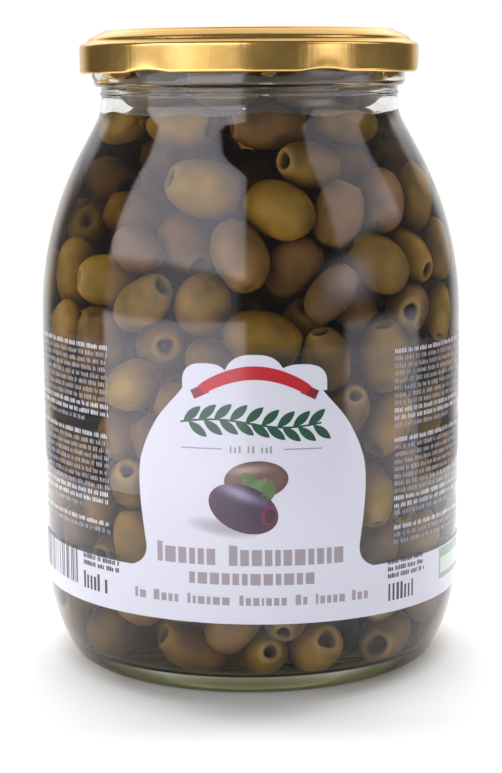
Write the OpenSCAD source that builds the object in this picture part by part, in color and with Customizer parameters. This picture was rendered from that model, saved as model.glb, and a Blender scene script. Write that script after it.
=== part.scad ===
// A tall glass jar of pitted olives in oil: the jar, its twist-off lid, a clear wrap label,
// the oil, and the olives that break the oil's surface.
// Millimetres, +Z up, origin at the centre of the foot, the label's front towards -Y.

/* [Glass jar] */
// Outer diameter of the straight body
body_d = 107.7; // [90:0.1:130]
// Height of the straight part of the body
body_straight = 64.5; // [45:0.5:110]
// Height at which the rounded heel meets the straight body
heel_height = 23.8; // [18:0.1:32]
// Radius of the heel's wide upper curve
heel_upper_r = 42; // [36:0.5:52]
// Radius of the heel's tight lower curve
heel_lower_r = 3.7; // [2:0.1:8]
// Thickness of the glass wall
glass_wall = 2.6; // [1.8:0.1:3.6]
// Height of the inside floor above the table
floor_height = 5.4; // [4.2:0.1:9]
// Radius between the inside floor and the wall
floor_corner_r = 8; // [5:0.5:12]
// Height of the hollow under the foot
punt_height = 2.2; // [1:0.1:3]
// Width of the flat ring that the jar stands on
foot_width = 2.4; // [1.5:0.1:5]
// Radius of the shoulder's long outward curve
shoulder_r = 86; // [60:1:110]
// Length of the straight slope between the shoulder's two curves
shoulder_slope = 8.4; // [2:0.1:14]
// Radius of the curve between the shoulder and the neck
neck_blend_r = 12; // [6:0.5:20]
// Height of the straight neck below the bead
neck_height = 3.2; // [2.4:0.1:8]

/* [Mouth of the jar] */
// Outer diameter of the mouth above the bead
mouth_d = 79.2; // [66:0.1:95]
// How far the bead stands out from the neck
bead_step = 1.85; // [1:0.05:3]
// Height of the bead's rounded underside
bead_round = 1.5; // [0.6:0.1:2]
// How far the fine ring on the neck stands out
neck_ring_step = 0.3; // [0.1:0.05:0.8]
// Height of the fine ring on the neck
neck_ring_height = 0.8; // [0.4:0.1:1.2]
// Bare glass between the bead's underside and the lid's lower edge
lid_gap = 3.4; // [1:0.1:6]

/* [Lid] */
// Height of the lid's skirt
skirt_height = 7.3; // [7:0.1:12]
// Height of the whole lid
lid_height = 10.7; // [10.4:0.1:16]
// Thickness of the lid's sheet metal
sheet = 0.35; // [0.2:0.05:0.6]
// Space between the mouth and the inside of the skirt, where the screw threads lie
skirt_clearance = 3.05; // [2.4:0.05:5]
// Radius of the rolled lower edge
curl_r = 0.8; // [0.5:0.1:1.1]
// Radius of the corner at the top of the skirt
lid_corner_r = 0.9; // [0.5:0.1:1.4]
// Width of the ledge just inside the skirt's corner
ledge_width = 1.1; // [0.8:0.1:2]
// Height of the small riser inside the ledge
riser_height = 0.9; // [0.4:0.1:1.6]
// How far the raised panel's edge lies inside the mouth's outer edge
panel_inset = 2.6; // [1.8:0.1:4]
// Height of the lip round the raised panel
panel_lip = 0.45; // [0.2:0.05:0.8]
// Number of pressed lugs round the lower edge
lug_count = 6; // [4:1:8]
// Width of one lug along the edge
lug_width = 13; // [8:0.5:16]
// How far a lug lifts the lower edge
lug_lift = 0.6; // [0.2:0.1:0.7]
// Turn of the first lug from the front, in degrees
lug_turn = 25; // [0:1:59]

/* [Label] */
// Height of the label's lower edge at the front
label_bottom = 19.7; // [17:0.1:32]
// Height of the label from its lower to its upper edge
label_height = 66.2; // [40:0.1:68]
// Thickness of the label film
label_t = 0.15; // [0.1:0.05:0.4]
// How far the label is stuck on out of level, in degrees
label_slant = 0.85; // [0:0.05:2]

/* [Contents] */
// Depth of the oil's surface below the bead's underside
oil_drop = 7.5; // [5:0.1:20]
// Length of an olive
olive_length = 17.5; // [14:0.1:21]
// Thickness of an olive
olive_d = 13; // [10:0.1:15]
// Gap between the olives at the surface and the glass
olive_gap = 0.6; // [0.3:0.1:2]
// Least gap between two olives of a ring at the surface
olive_spacing = 1; // [0.6:0.1:2]
// How far an olive rises out of the oil on average
olive_rise = 3; // [1:0.1:3.5]
// How far the olives lying on top sink between those that they lie on
olive_nest = 1.7; // [1:0.1:2.2]

/* [Hidden] */
$fn = 96;

// Degrees between two points of a curve in an outline
arc_step = 4;

body_r = body_d / 2;
mouth_r = mouth_d / 2;
neck_r = mouth_r - bead_step;
bore_r = neck_r - glass_wall;

// The shoulder is one long curve, a straight slope and a blend into the neck, all tangent.
// Its angle is the one at which they add up to the step from the body to the neck.
curve_sum = shoulder_r + neck_blend_r;
shoulder_angle = acos((curve_sum - body_r + neck_r) / norm([curve_sum, shoulder_slope]))
    - atan(shoulder_slope / curve_sum);

shoulder_z = heel_height + body_straight;
blend_z = shoulder_z + curve_sum * sin(shoulder_angle) + shoulder_slope * cos(shoulder_angle);
bead_z = blend_z + neck_height;
lid_z = bead_z + lid_gap;

lid_r = mouth_r + skirt_clearance + sheet;
panel_r = mouth_r - panel_inset;
oil_z = bead_z - oil_drop;
// Past the model on every side
beyond = 2 * (body_d + body_straight);

// Points of an arc round a centre c from angle a to angle b
function arc(c, r, a, b) =
    let (n = max(2, ceil(abs(b - a) / arc_step)))
    [for (i = [0 : n]) let (t = a + (b - a) * i / n) c + r * [cos(t), sin(t)]];

// Angle of the heel's wide curve where its tight curve takes over: w is the depth in the glass
function heel_angle(w, low_r, floor_z) =
    asin((heel_height - floor_z - low_r) / (heel_upper_r - w - low_r));

// The heel's outline at depth w in the glass, from its floor up to the straight body
function heel(w, low_r, floor_z) =
    let (a = heel_angle(w, low_r, floor_z),
         c = [body_r - heel_upper_r, heel_height],
         low = c + (heel_upper_r - w - low_r) * [cos(a), -sin(a)])
    concat(arc(low, low_r, -90, -a), arc(c, heel_upper_r - w, -a, 0));

// The shoulder's outline at depth w in the glass, from the straight body up to the neck
function shoulder(w) =
    concat(
        arc([body_r - shoulder_r, shoulder_z], shoulder_r - w, 0, shoulder_angle),
        arc([neck_r + neck_blend_r, blend_z], neck_blend_r + w, 180 + shoulder_angle, 180));

// The lid's outer outline, from the inside of its rolled edge to the middle of its panel.
// Heights are above the lid's lower edge.
function lid_outline() =
    let (ledge = [lid_r - lid_corner_r - ledge_width, skirt_height + ledge_width / 2],
         top = [panel_r, lid_height])
    concat(
        arc([lid_r - lid_corner_r, skirt_height - lid_corner_r], lid_corner_r, 0, 72),
        [ledge,
         ledge + [-riser_height / 2, riser_height],
         top + [2 * panel_lip, -2 * panel_lip + panel_lip / 2],
         top + [panel_lip / 2, -panel_lip],
         top - [panel_lip, 0],
         [0, lid_height]]);

// Direction square to a step, to the left of it
function left_of(d) = [-d.y, d.x] / norm(d);

// A line of points moved sideways by t, with mitred corners
function inset(p, t) =
    [for (i = [0 : len(p) - 1])
        let (before = left_of(p[max(i, 1)] - p[max(i, 1) - 1]),
             after = left_of(p[min(i, len(p) - 2) + 1] - p[min(i, len(p) - 2)]),
             mid = before + after)
        p[i] + 2 * t * mid / (mid * mid)];

// The lid's sloping underside: the ends of the stretch that rests on the mouth
lid_inner = inset(lid_outline(), sheet);
seat_out = lid_inner[len(lid_inner) - 5];
seat_in = lid_inner[len(lid_inner) - 4];
function seat_height(r) =
    lid_z + seat_in.y + (seat_in.x - r) * (seat_in.y - seat_out.y) / (seat_out.x - seat_in.x);

// Where the mouth's flat rim ends and its sloping seat for the lid begins
rim_flat_r = (bore_r + 2 * mouth_r) / 3;

module jar_outside() {
    heel_out = heel(0, heel_lower_r, 0);
    foot_r = heel_out[0].x;
    foot_in = foot_r - foot_width;
    ring_z = bead_z - neck_height / 2;
    polygon(concat(
        [for (i = [0 : 8]) [foot_in * i / 8, punt_height * (1 - pow(i / 8, 2))]],
        heel_out,
        shoulder(0),
        [[neck_r, ring_z - neck_ring_height / 2],
         [neck_r + neck_ring_step, ring_z],
         [neck_r, ring_z + neck_ring_height / 2],
         [neck_r, bead_z]],
        arc([mouth_r - bead_round, bead_z + bead_round], bead_round, -90, 0),
        [[mouth_r, seat_height(mouth_r)],
         [rim_flat_r, seat_height(rim_flat_r)],
         [0, seat_height(rim_flat_r)]]));
}

module cavity() {
    polygon(concat(
        [[0, floor_height]],
        heel(glass_wall, floor_corner_r, floor_height),
        shoulder(glass_wall),
        [[bore_r, lid_z + lid_height],
         [0, lid_z + lid_height]]));
}

module jar() {
    color([0.86, 0.90, 0.88, 0.35])
    rotate_extrude()
    difference() {
        jar_outside();
        cavity();
    }
}

// The sheet of the lid with its rolled lower edge
module lid_section() {
    curl = arc([lid_r - curl_r, curl_r], curl_r, 120, 360);
    polygon(concat(
        curl,
        lid_outline(),
        [for (i = [len(lid_inner) - 1 : -1 : 0]) lid_inner[i]],
        [[lid_r - sheet, 2 * curl_r]]));
}

module lid() {
    // A round cutter of this radius lifts the edge by lug_lift over lug_width
    cutter_r = (pow(lug_width / 2, 2) + pow(lug_lift, 2)) / (2 * lug_lift);
    color([0.78, 0.62, 0.30])
    translate([0, 0, lid_z])
    difference() {
        rotate_extrude()
        lid_section();
        for (i = [0 : lug_count - 1])
            rotate([0, 0, -90 + lug_turn + i * 360 / lug_count])
            translate([lid_r - 3 * curl_r, 0, lug_lift - cutter_r])
            rotate([0, 90, 0])
            cylinder(r = cutter_r, h = 6 * curl_r);
    }
}

// The wall's outside at a distance t out from the glass, as a filled outline
module wall_filled(t) {
    heel_out = heel(-t, heel_lower_r, 0);
    polygon(concat(
        [[0, 0]],
        heel_out,
        [[body_r + t, shoulder_z],
         [0, shoulder_z]]));
}

module label() {
    color([0.94, 0.94, 0.95, 0.5])
    intersection() {
        rotate_extrude()
        difference() {
            wall_filled(label_t);
            wall_filled(0);
        }
        translate([0, 0, label_bottom])
        rotate([0, label_slant, 0])
        translate([-beyond / 2, -beyond / 2, 0])
        cube([beyond, beyond, label_height]);
    }
}

// One olive, lying along X
module olive() {
    n = 12;
    rotate([0, 90, 0])
    rotate_extrude()
    polygon([for (i = [0 : n]) let (t = -90 + 180 * i / n)
        [olive_d / 2 * max(0, cos(t)), olive_length / 2 * sin(t)]]);
}

// A ring of olives round the jar's axis at a height above the surface ones, no two quite level
module olive_ring(count, ring_r, turn, lift) {
    for (i = [0 : count - 1])
        rotate([0, 0, turn + i * 360 / count])
        translate([0, -ring_r, oil_z + olive_rise - olive_d / 2 + lift + 0.8 * sin(137 * i + turn)])
        rotate([0, 9 * sin(97 * i), 0])
        olive();
}

// How many olives lie end to end in a ring of radius r: each keeps to its own sector of the ring
function ring_count(r) =
    let (half_length = (olive_length + olive_spacing) / 2,
         half_width = (olive_d + olive_spacing) / 2)
    r > half_width ? floor(180 / atan(half_length / sqrt(r * r - half_width * half_width))) : 0;

// Two rings of olives side by side. Those of the upper layer lie over the gaps of the lower one.
module olive_layer(upper) {
    outer_ring_r = bore_r - olive_gap - olive_d / 2;
    inner_ring_r = outer_ring_r - olive_d - olive_gap;
    for (ring = [[outer_ring_r, 8], [inner_ring_r, 30]])
        let (count = ring_count(ring[0]),
             half_step = upper && count > 0 ? 180 / count : 0)
        olive_ring(count, ring[0], ring[1] + half_step, upper ? olive_d - olive_nest : 0);
}

module olives() {
    color([0.42, 0.33, 0.18]) {
        olive_layer(false);
        olive_layer(true);
    }
}

module oil() {
    color([0.55, 0.48, 0.16, 0.6])
    difference() {
        rotate_extrude()
        intersection() {
            cavity();
            square([body_d, oil_z]);
        }
        olive_layer(false);
    }
}

jar();
lid();
label();
oil();
olives();
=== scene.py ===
# %% [markdown]
# # A jar of olives in oil
# The jar is a tall glass with round shoulders, shut by a gold twist-off lid. It is nearly full of pitted olives
# in oil, and a clear wrap label with white print goes round it. Each cell below makes one piece or one finish.
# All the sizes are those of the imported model, in millimetres until a mesh is made, and metres from then on.

# %% Load the frame
import math

import bpy
import numpy as np
from mathutils import Euler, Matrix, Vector


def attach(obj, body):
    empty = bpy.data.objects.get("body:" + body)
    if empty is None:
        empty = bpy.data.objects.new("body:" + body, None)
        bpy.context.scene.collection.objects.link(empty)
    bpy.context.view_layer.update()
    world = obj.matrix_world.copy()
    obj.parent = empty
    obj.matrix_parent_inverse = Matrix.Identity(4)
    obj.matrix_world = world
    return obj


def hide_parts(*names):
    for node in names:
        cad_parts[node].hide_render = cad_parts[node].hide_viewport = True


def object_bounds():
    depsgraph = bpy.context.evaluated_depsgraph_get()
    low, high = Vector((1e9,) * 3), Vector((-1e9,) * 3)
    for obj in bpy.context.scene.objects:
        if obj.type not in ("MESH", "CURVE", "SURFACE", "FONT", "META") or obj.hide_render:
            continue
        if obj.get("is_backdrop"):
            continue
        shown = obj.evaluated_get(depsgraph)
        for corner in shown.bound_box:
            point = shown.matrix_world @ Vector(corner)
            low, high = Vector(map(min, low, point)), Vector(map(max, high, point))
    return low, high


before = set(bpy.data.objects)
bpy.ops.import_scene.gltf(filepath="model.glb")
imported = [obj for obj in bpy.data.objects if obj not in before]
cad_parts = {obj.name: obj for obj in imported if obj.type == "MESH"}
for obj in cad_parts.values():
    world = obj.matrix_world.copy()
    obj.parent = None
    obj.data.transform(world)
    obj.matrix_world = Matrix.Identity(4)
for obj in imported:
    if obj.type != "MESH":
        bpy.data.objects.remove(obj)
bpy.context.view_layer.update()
MM = 0.001
rng = np.random.default_rng(17)
print("nodes of the packed model:", sorted(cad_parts))

# %% [markdown]
# ## Surfaces as grids
# Nearly every piece of a jar is turned: a profile of radius and height goes round the upright axis. It could be
# spun with a modifier, but a grid of points worked out as one array leaves every seam and pole under control.
# A pole is a single point with a fan of triangles, so the surface has no hole where the profile meets the axis.

# %% Grid helpers
def grid_quads(rows, columns, wrap_rows=False, wrap_columns=False):
    """Four-sided faces of a grid whose point (i, j) has number i * columns + j. Wrapping joins last to first."""
    i = np.arange(rows if wrap_rows else rows - 1)[:, None]
    j = np.arange(columns if wrap_columns else columns - 1)[None, :]
    up, right = (i + 1) % rows, (j + 1) % columns
    corners = [i * columns + j, i * columns + right, up * columns + right, up * columns + j]
    return np.stack([c.ravel() for c in np.broadcast_arrays(*corners)], 1)


def turned(profile, around, closed=False):
    """Each profile point (radius, height) becomes a ring: x = radius sin(turn), y = -radius cos(turn).
    An end on the axis becomes one point with a fan of triangles. A closed profile joins last to first."""
    profile = np.asarray(profile, float)
    turn = np.linspace(0, 2 * np.pi, around, endpoint=False)
    low_pole = profile[0, 0] < 1e-6 and not closed
    high_pole = profile[-1, 0] < 1e-6 and not closed
    rings = profile[(1 if low_pole else 0):(len(profile) - 1 if high_pole else len(profile))]
    points = np.stack([
        rings[:, 0, None] * np.sin(turn), -rings[:, 0, None] * np.cos(turn),
        np.broadcast_to(rings[:, 1, None], (len(rings), around))], -1).reshape(-1, 3)
    faces = grid_quads(len(rings), around, closed, True).tolist()
    here, after = np.arange(around), (np.arange(around) + 1) % around
    if low_pole:
        faces += np.stack([np.full(around, len(points)), after, here], 1).tolist()
        points = np.vstack([points, [0, 0, profile[0, 1]]])
    if high_pole:
        top = (len(rings) - 1) * around
        faces += np.stack([top + here, top + after, np.full(around, len(points))], 1).tolist()
        points = np.vstack([points, [0, 0, profile[-1, 1]]])
    return points, faces


def add_piece(name, points, faces, material, smooth=True):
    """Makes a mesh from points in millimetres, in its place, riding on the jar's only body."""
    mesh = bpy.data.meshes.new(name)
    mesh.from_pydata((np.asarray(points) * MM).tolist(), [], faces)
    mesh.polygons.foreach_set("use_smooth", np.full(len(mesh.polygons), smooth))
    mesh.materials.append(material)
    mesh.update()
    piece = bpy.data.objects.new(name, mesh)
    bpy.context.scene.collection.objects.link(piece)
    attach(piece, "root")
    triangles = sum(p.loop_total - 2 for p in mesh.polygons)
    print(f"{name}: {len(mesh.vertices)} points, {triangles} triangles")
    return piece


def paint(piece, name, colours):
    """Stores one colour per point, which a material reads by this name."""
    colours = np.asarray(colours, np.float32)
    rgba = np.hstack([colours, np.ones((len(colours), 1), np.float32)])
    layer = piece.data.color_attributes.new(name, "FLOAT_COLOR", "POINT")
    layer.data.foreach_set("color", rgba.ravel())


print("a strip turned in 8 steps, with one end on the axis, has", len(turned([[0, 0], [1, 0], [1, 1]], 8)[1]), "faces")

# %% [markdown]
# ## Helpers for finishes
# A finish is one shader with a few values of its own, and some finishes have a small pattern linked in. The values
# could be set a line at a time, but a table of socket and value shows at a glance what makes each finish.

# %% Finish helpers
def with_values(node, values):
    """Sets a node's inputs from a table of names and values, and returns the node."""
    for socket, value in values.items():
        node.inputs[socket].default_value = value
    return node


def new_finish(name, values):
    """A material whose shader has the given values. Returns it with its shader, its nodes and its links."""
    made = bpy.data.materials.new(name)
    made.use_nodes = True
    nodes = made.node_tree.nodes
    return made, with_values(nodes["Principled BSDF"], values), nodes, made.node_tree.links


print("finishes take their values from tables")

# %% [markdown]
# ## Curves of the jar
# The glass has a long curve at the heel, a straight body, and a shoulder that is an arc, a short slope and a
# blend into the neck. The inside is the same family of curves, one wall's thickness further in. The functions
# give points as (radius, height), so one call with another depth gives the outside, the inside or the oil.

# %% Sizes and profile curves
BODY_R, HEEL_Z, HEEL_R, BODY_STRAIGHT = 53.85, 23.8, 42.0, 64.5
HEEL_TIGHT_OUT, HEEL_TIGHT_IN = 3.7, 8.0
SHOULDER_R, SHOULDER_SLOPE, NECK_BLEND_R, NECK_HEIGHT = 86.0, 8.4, 12.0, 3.2
WALL, FLOOR_Z, PUNT_Z, FOOT_WIDTH = 2.6, 5.4, 2.2, 2.4
MOUTH_R, BEAD_STEP, BEAD_ROUND = 39.6, 1.85, 1.5
LID_GAP, OIL_DROP = 3.4, 7.5
NECK_R = MOUTH_R - BEAD_STEP
BORE_R = NECK_R - WALL
SHOULDER_Z = HEEL_Z + BODY_STRAIGHT
curve_sum = SHOULDER_R + NECK_BLEND_R
SHOULDER_TURN = (math.acos((curve_sum - BODY_R + NECK_R) / math.hypot(curve_sum, SHOULDER_SLOPE))
                 - math.atan(SHOULDER_SLOPE / curve_sum))
BLEND_Z = SHOULDER_Z + curve_sum * math.sin(SHOULDER_TURN) + SHOULDER_SLOPE * math.cos(SHOULDER_TURN)
BEAD_Z = BLEND_Z + NECK_HEIGHT
LID_Z = BEAD_Z + LID_GAP
OIL_Z = BEAD_Z - OIL_DROP


def arc(centre, radius, start, end, step=2.0):
    """Points of a circle's arc about a centre, from one angle to another, in degrees."""
    count = max(3, int(abs(end - start) / step) + 1)
    turn = np.radians(np.linspace(start, end, count))
    return np.stack([centre[0] + radius * np.cos(turn), centre[1] + radius * np.sin(turn)], 1)


def heel(depth, tight_r, floor_z):
    """The lower curve at a depth in the glass: a tight arc off the floor, then a wide arc up to the body."""
    wide_r = HEEL_R - depth
    a = math.degrees(math.asin((HEEL_Z - floor_z - tight_r) / (wide_r - tight_r)))
    centre = np.array([BODY_R - HEEL_R, HEEL_Z])
    low = centre + (wide_r - tight_r) * np.array([math.cos(math.radians(a)), -math.sin(math.radians(a))])
    return np.vstack([arc(low, tight_r, -90, -a, 5), arc(centre, wide_r, -a, 0)[1:]])


def shoulder(depth):
    """The upper curve at a depth in the glass: a wide arc in from the body, then a blend up into the neck."""
    a = math.degrees(SHOULDER_TURN)
    return np.vstack([
        arc((BODY_R - SHOULDER_R, SHOULDER_Z), SHOULDER_R - depth, 0, a, 1.2),
        arc((NECK_R + NECK_BLEND_R, BLEND_Z), NECK_BLEND_R + depth, 180 + a, 180, 3)])


def filled_in(points, longest):
    """Adds points along any stretch longer than the given length, so that faces stay near square."""
    points = np.asarray(points, float)
    parts = []
    for a, b in zip(points[:-1], points[1:]):
        n = max(1, int(math.ceil(np.hypot(*(b - a)) / longest)))
        parts.append(a + (b - a) * np.arange(n)[:, None] / n)
    return np.vstack(parts + [points[-1:]])


print(f"shoulder turns {math.degrees(SHOULDER_TURN):.2f} degrees, bead at {BEAD_Z:.2f}, oil at {OIL_Z:.2f} mm")

# %% [markdown]
# ## The camera
# The camera stands close by, a little under the height of the lid, and looks down by nine degrees. So the lid is
# seen almost edge on, and the upright sides draw together towards the foot. The roll is the small lean of a
# camera that isn't quite level.

# %% Camera
LENS, SENSOR, LOOK_DOWN, ROLL = 88.08, 36, 9.294, -0.402
camera_data = bpy.data.cameras.new("camera")
camera = bpy.data.objects.new("camera", camera_data)
bpy.context.scene.collection.objects.link(camera)
camera_data.lens = LENS
camera_data.sensor_width = SENSOR
camera_data.clip_start, camera_data.clip_end = 0.01, 50
camera.location = (-0.0001, -0.4886, 0.1483)
tilt = Euler((math.radians(90 - LOOK_DOWN), 0, 0)).to_matrix() @ Euler((0, 0, math.radians(ROLL))).to_matrix()
camera.rotation_euler = tilt.to_euler()
bpy.context.scene.camera = camera
print("camera at", tuple(round(v, 4) for v in camera.location))

# %% [markdown]
# ## The surround
# The space behind the jar is white and lights its edges, and the side towards the camera is dim. The change from
# one to the other is a smooth step of the direction's own Y, so that no edge shows in the glass. What is seen
# straight or through the glass is a hair brighter than what lights the jar, and so stays plain white.

# %% Pale surround
scene = bpy.context.scene
scene.view_settings.view_transform = "Standard"
scene.cycles.max_bounces = 20
scene.cycles.transmission_bounces = 16
scene.cycles.transparent_max_bounces = 24
scene.cycles.diffuse_bounces = 3
scene.cycles.glossy_bounces = 6
scene.cycles.caustics_reflective = False
scene.cycles.caustics_refractive = False

BACKDROP, BACK_LIGHT, ROOM_LIGHT = 1.02, 1.0, 0.15
DIM_UP_TO, BRIGHT_FROM = 0.72, 0.90
world = bpy.data.worlds.new("pale surround")
scene.world = world
world.use_nodes = True
nodes, links = world.node_tree.nodes, world.node_tree.links
background = with_values(nodes["Background"], {"Color": (1, 1, 1, 1)})
direction = nodes.new("ShaderNodeTexCoord")
split = nodes.new("ShaderNodeSeparateXYZ")
fade = with_values(nodes.new("ShaderNodeMapRange"), {
    "From Min": DIM_UP_TO, "From Max": BRIGHT_FROM, "To Min": ROOM_LIGHT, "To Max": BACK_LIGHT})
fade.interpolation_type = "SMOOTHSTEP"
seen = nodes.new("ShaderNodeLightPath")
either = nodes.new("ShaderNodeMath")
either.operation = "MAXIMUM"
pick = with_values(nodes.new("ShaderNodeMix"), {"B": BACKDROP})
links.new(direction.outputs["Generated"], split.inputs[0])
links.new(split.outputs["Y"], fade.inputs["Value"])
links.new(seen.outputs["Is Camera Ray"], either.inputs[0])
links.new(seen.outputs["Is Transmission Ray"], either.inputs[1])
links.new(either.outputs["Value"], pick.inputs["Factor"])
links.new(fade.outputs["Result"], pick.inputs["A"])
links.new(pick.outputs["Result"], background.inputs["Strength"])
print(f"surround: {ROOM_LIGHT} towards the camera, {BACK_LIGHT} behind the jar")

# %% [markdown]
# ## Light panels
# A jar is best lit by two tall soft panels at its sides and one over it. Glass would show a panel as a hard-edged
# bright shape, so these three light only what is matt, which is the olives, the print and the floor.

# %% Light panels
PANEL_WHITE, STAND_OFF = (0.975, 0.975, 1.0), 0.62


def at_bearing(degrees, distance, height):
    """A place round the jar: bearing 0 is towards the camera, and positive goes to the right."""
    a = math.radians(degrees)
    return (distance * math.sin(a), -distance * math.cos(a), height)


def light_panel(name, place, aim, width, height, radiance):
    """A soft box: a rectangle of even brightness that faces a point. Power = radiance * area * pi."""
    data = bpy.data.lights.new(name, "AREA")
    data.shape = "RECTANGLE"
    data.size, data.size_y = width, height
    data.energy = radiance * width * height * math.pi
    data.color = PANEL_WHITE
    lamp = bpy.data.objects.new(name, data)
    lamp.location = place
    lamp.rotation_euler = (Vector(aim) - Vector(place)).to_track_quat("-Z", "Y").to_euler()
    lamp.visible_camera = False
    lamp.visible_glossy = False
    scene.collection.objects.link(lamp)
    print(f"{name}: {width:.2f} x {height:.2f} m, {data.energy:.1f} W")


light_panel("left panel", at_bearing(-46, STAND_OFF, 0.40), (0, 0, 0.40), 1.04, 1.2, 1.15)
light_panel("right panel", at_bearing(68, STAND_OFF, 0.40), (0, 0, 0.40), 0.62, 1.2, 0.45)
light_panel("top panel", (0, 0.35, 1.0), (0, 0, 0.05), 1.5, 0.42, 11.0)

# %% [markdown]
# ## Reflection cards
# What shows in polished glass and in the lid is a set of cards that only reflections meet. Their reflections run
# down the glass at both sides and leave a clear dark strip between them, through which the olives show in full
# colour. Each card fades out towards its edges, and cards that stand before each other add up, so a wide faint
# card with a small bright core gives the soft band with a bright middle that a window leaves on a jar.

# %% Reflection cards
CARD_WHITE, NEARER = (0.94, 0.90, 1.0, 1), 0.60


def card_glow(name, radiance, soft):
    """The card's material. Its glow is radiance * smooth(u / soft) * smooth(v / soft), where u and v are the
    shares of the card's half size left to its nearest edges. It is added to plain transparency."""
    glow = bpy.data.materials.new(name)
    glow.use_nodes = True
    glow.cycles.emission_sampling = "NONE"
    nodes, links = glow.node_tree.nodes, glow.node_tree.links
    place, split = nodes.new("ShaderNodeUVMap"), nodes.new("ShaderNodeSeparateXYZ")
    links.new(place.outputs["UV"], split.inputs[0])
    product = nodes.new("ShaderNodeMath")
    product.operation = "MULTIPLY"
    for number, (axis, most) in enumerate((("X", radiance), ("Y", 1.0))):
        fold = nodes.new("ShaderNodeMath")
        fold.operation = "PINGPONG"
        fold.inputs[1].default_value = 0.5
        ease = with_values(nodes.new("ShaderNodeMapRange"), {"From Max": 0.5 * soft, "To Max": most})
        ease.interpolation_type = "SMOOTHSTEP"
        links.new(split.outputs[axis], fold.inputs[0])
        links.new(fold.outputs[0], ease.inputs["Value"])
        links.new(ease.outputs["Result"], product.inputs[number])
    lamp = with_values(nodes.new("ShaderNodeEmission"), {"Color": CARD_WHITE})
    links.new(product.outputs[0], lamp.inputs["Strength"])
    clear, both = nodes.new("ShaderNodeBsdfTransparent"), nodes.new("ShaderNodeAddShader")
    links.new(lamp.outputs[0], both.inputs[0])
    links.new(clear.outputs[0], both.inputs[1])
    links.new(both.outputs[0], nodes["Material Output"].inputs["Surface"])
    return glow


def soft_card(name, distance, bearing, half_angle, low, high, radiance, soft):
    """An upright card that faces the jar's axis. Half its width is distance * tan(half angle)."""
    centre = np.array(at_bearing(bearing, distance, 0.0))
    side = np.array([math.cos(math.radians(bearing)), math.sin(math.radians(bearing)), 0.0])
    half = distance * math.tan(math.radians(half_angle))
    ends = ((-1, low), (1, low), (1, high), (-1, high))
    corners = [centre + side * half * u + np.array([0, 0, z]) for u, z in ends]
    mesh = bpy.data.meshes.new(name)
    mesh.from_pydata([tuple(c) for c in corners], [], [(0, 1, 2, 3)])
    mesh.uv_layers.new(name="card").data.foreach_set("uv", [0, 0, 1, 0, 1, 1, 0, 1])
    mesh.materials.append(card_glow(name, radiance, soft))
    card = bpy.data.objects.new(name, mesh)
    scene.collection.objects.link(card)
    card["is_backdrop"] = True
    card.visible_camera = card.visible_diffuse = card.visible_transmission = card.visible_shadow = False
    print(f"{name}: bearing {bearing} +- {half_angle} degrees")


# Name, distance, bearing, half angle, lower and upper edge, radiance, and the soft share of its half size
CARDS = (("left card", STAND_OFF, -44, 40, -0.40, 1.0, 0.8, 0.20),
         ("low left card", STAND_OFF, -43, 42, -0.40, 0.08, 2.6, 0.12),
         ("high left card", STAND_OFF, -43, 42, 0.24, 1.0, 2.6, 0.12),
         ("left card core", NEARER, -40, 22, 0.0, 0.34, 0.9, 0.9),
         ("low right card", STAND_OFF, 74, 27, -0.40, 0.08, 1.6, 0.20),
         ("high right card", STAND_OFF, 74, 27, 0.30, 1.0, 1.6, 0.20),
         ("right card core", NEARER, 53, 21, 0.09, 0.30, 3.0, 1.0),
         ("back card", STAND_OFF, 180, 50, 0.25, 1.3, 1.1, 0.3))
for row in CARDS:
    soft_card(*row)

# %% [markdown]
# ## The floor
# The jar stands on a plain pale disc. It ends where the dim side of the room begins, so that the glass doesn't
# mirror a bright floor towards the camera.

# %% Floor
floor_paint, *_ = new_finish("pale floor", {
    "Base Color": (0.93, 0.93, 0.93, 1), "Roughness": 0.9, "Specular IOR Level": 0.1})
floor_points, floor_faces = turned([[0, 0], [60, 0], [120, 0], [180, 0], [270, 0]], 96)
floor_mesh = bpy.data.meshes.new("floor")
floor_mesh.from_pydata((floor_points * MM).tolist(), [], [f[::-1] for f in floor_faces])
floor_mesh.materials.append(floor_paint)
floor = bpy.data.objects.new("floor", floor_mesh)
scene.collection.objects.link(floor)
floor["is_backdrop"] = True
print("floor: a disc of", floor_points[:, 0].max(), "mm radius")

# %% [markdown]
# ## Glass and oil
# Light bends as it enters glass, so the wall needs both its faces and the oil needs its own. Where the two touch
# there is no air, so the oil's surface reaches a little into the wall, and neither face there reflects much.
# Lamps would throw only noisy caustics through the glass, so a ray towards a lamp meets plain transparent
# material instead: Light Path tells the two apart.

# %% Clear materials
GLASS_TINT, GLASS_IOR, OIL_IOR = (0.975, 0.98, 0.965), 1.52, 1.47


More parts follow.
